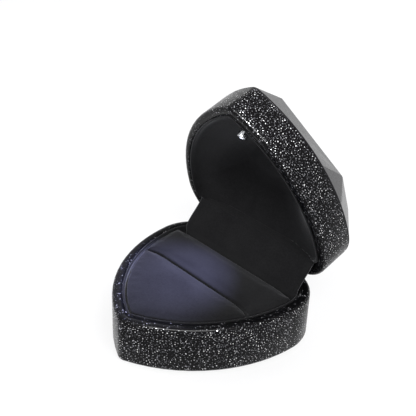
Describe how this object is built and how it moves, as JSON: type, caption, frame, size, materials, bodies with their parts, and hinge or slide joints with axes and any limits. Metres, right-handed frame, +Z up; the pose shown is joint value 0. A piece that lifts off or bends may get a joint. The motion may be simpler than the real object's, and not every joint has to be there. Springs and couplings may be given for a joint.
{
  "type": "ring display box",
  "caption": "Heart shaped ring display box with a hinged faceted lid, velvet pads with a ring slot, and a lamp in the lid with its own cell and switch.",
  "frame": {"origin": "on the table under the middle of the box, midway along the heart, on the foot pad's flat underside", "axes": "+Z up, -Y to the heart's tip at the front, +Y to the hinges, +X to the right seen from the front"},
  "size_m": [0.0664, 0.0832, 0.0814],
  "materials": {
    "glitter_lacquer": "black glitter lacquer, clear coated",
    "black_gloss": "smooth black gloss",
    "velvet": "short pile black velvet",
    "felt": "flat black felt",
    "grey_board": "uncoated grey board",
    "steel": "plain steel",
    "chrome": "polished",
    "clear_lens": "clear resin",
    "circuit_green": "solder mask",
    "chip_black": "matte",
    "moulded_black": "fine grain",
    "cell_steel": "satin",
    "red_wire": "smooth sheath",
    "black_wire": "smooth sheath",
    "white_wire": "smooth sheath",
    "white_plastic": "smooth"
  },
  "bodies": {
    "base": {"base_shell": "glitter_lacquer", "base_liner": "velvet", "pad_card": "grey_board", "front_pad": "velvet", "rear_pad": "velvet", "foot_pad": "felt", "hinge_leaves_base": "steel", "hinge_pins": "steel", "hinge_screws_base": "steel", "hinge_liner": "velvet"},
    "lid": {"lid_shell": "glitter_lacquer", "lid_crown": "black_gloss", "lid_panel": "moulded_black", "lid_liner": "velvet", "hinge_leaves_lid": "steel", "hinge_screws_lid": "steel", "led_bezel": "chrome", "led_lamp": "clear_lens", "led_nut": "chrome", "circuit_board": "circuit_green", "resistor": "chip_black", "board_screws": "steel", "battery_tray": "moulded_black", "coin_cell": "cell_steel", "battery_clip": "steel", "lamp_wires": "red_wire", "battery_wires": "black_wire", "switch_wires": "white_wire", "switch_body": "moulded_black"},
    "plunger": {"switch_plunger": "white_plastic"}
  },
  "joints": [
    {"name": "lid_hinge", "type": "hinge", "parent": "base", "child": "lid", "pos_m": [0, 0.031, 0.0175], "axis": [1, 0, 0], "range_deg": [0, 72.5], "deforming": ["hinge_liner"]},
    {"name": "switch_slide", "type": "slide", "parent": "lid", "child": "plunger", "axis": [0, 0.9537, 0.3007], "range_m": [0, 0.001]}
  ],
  "couplings": [
    {"joint": "switch_slide", "follows": "lid_hinge", "m_per_rad": 0.00079}
  ]
}
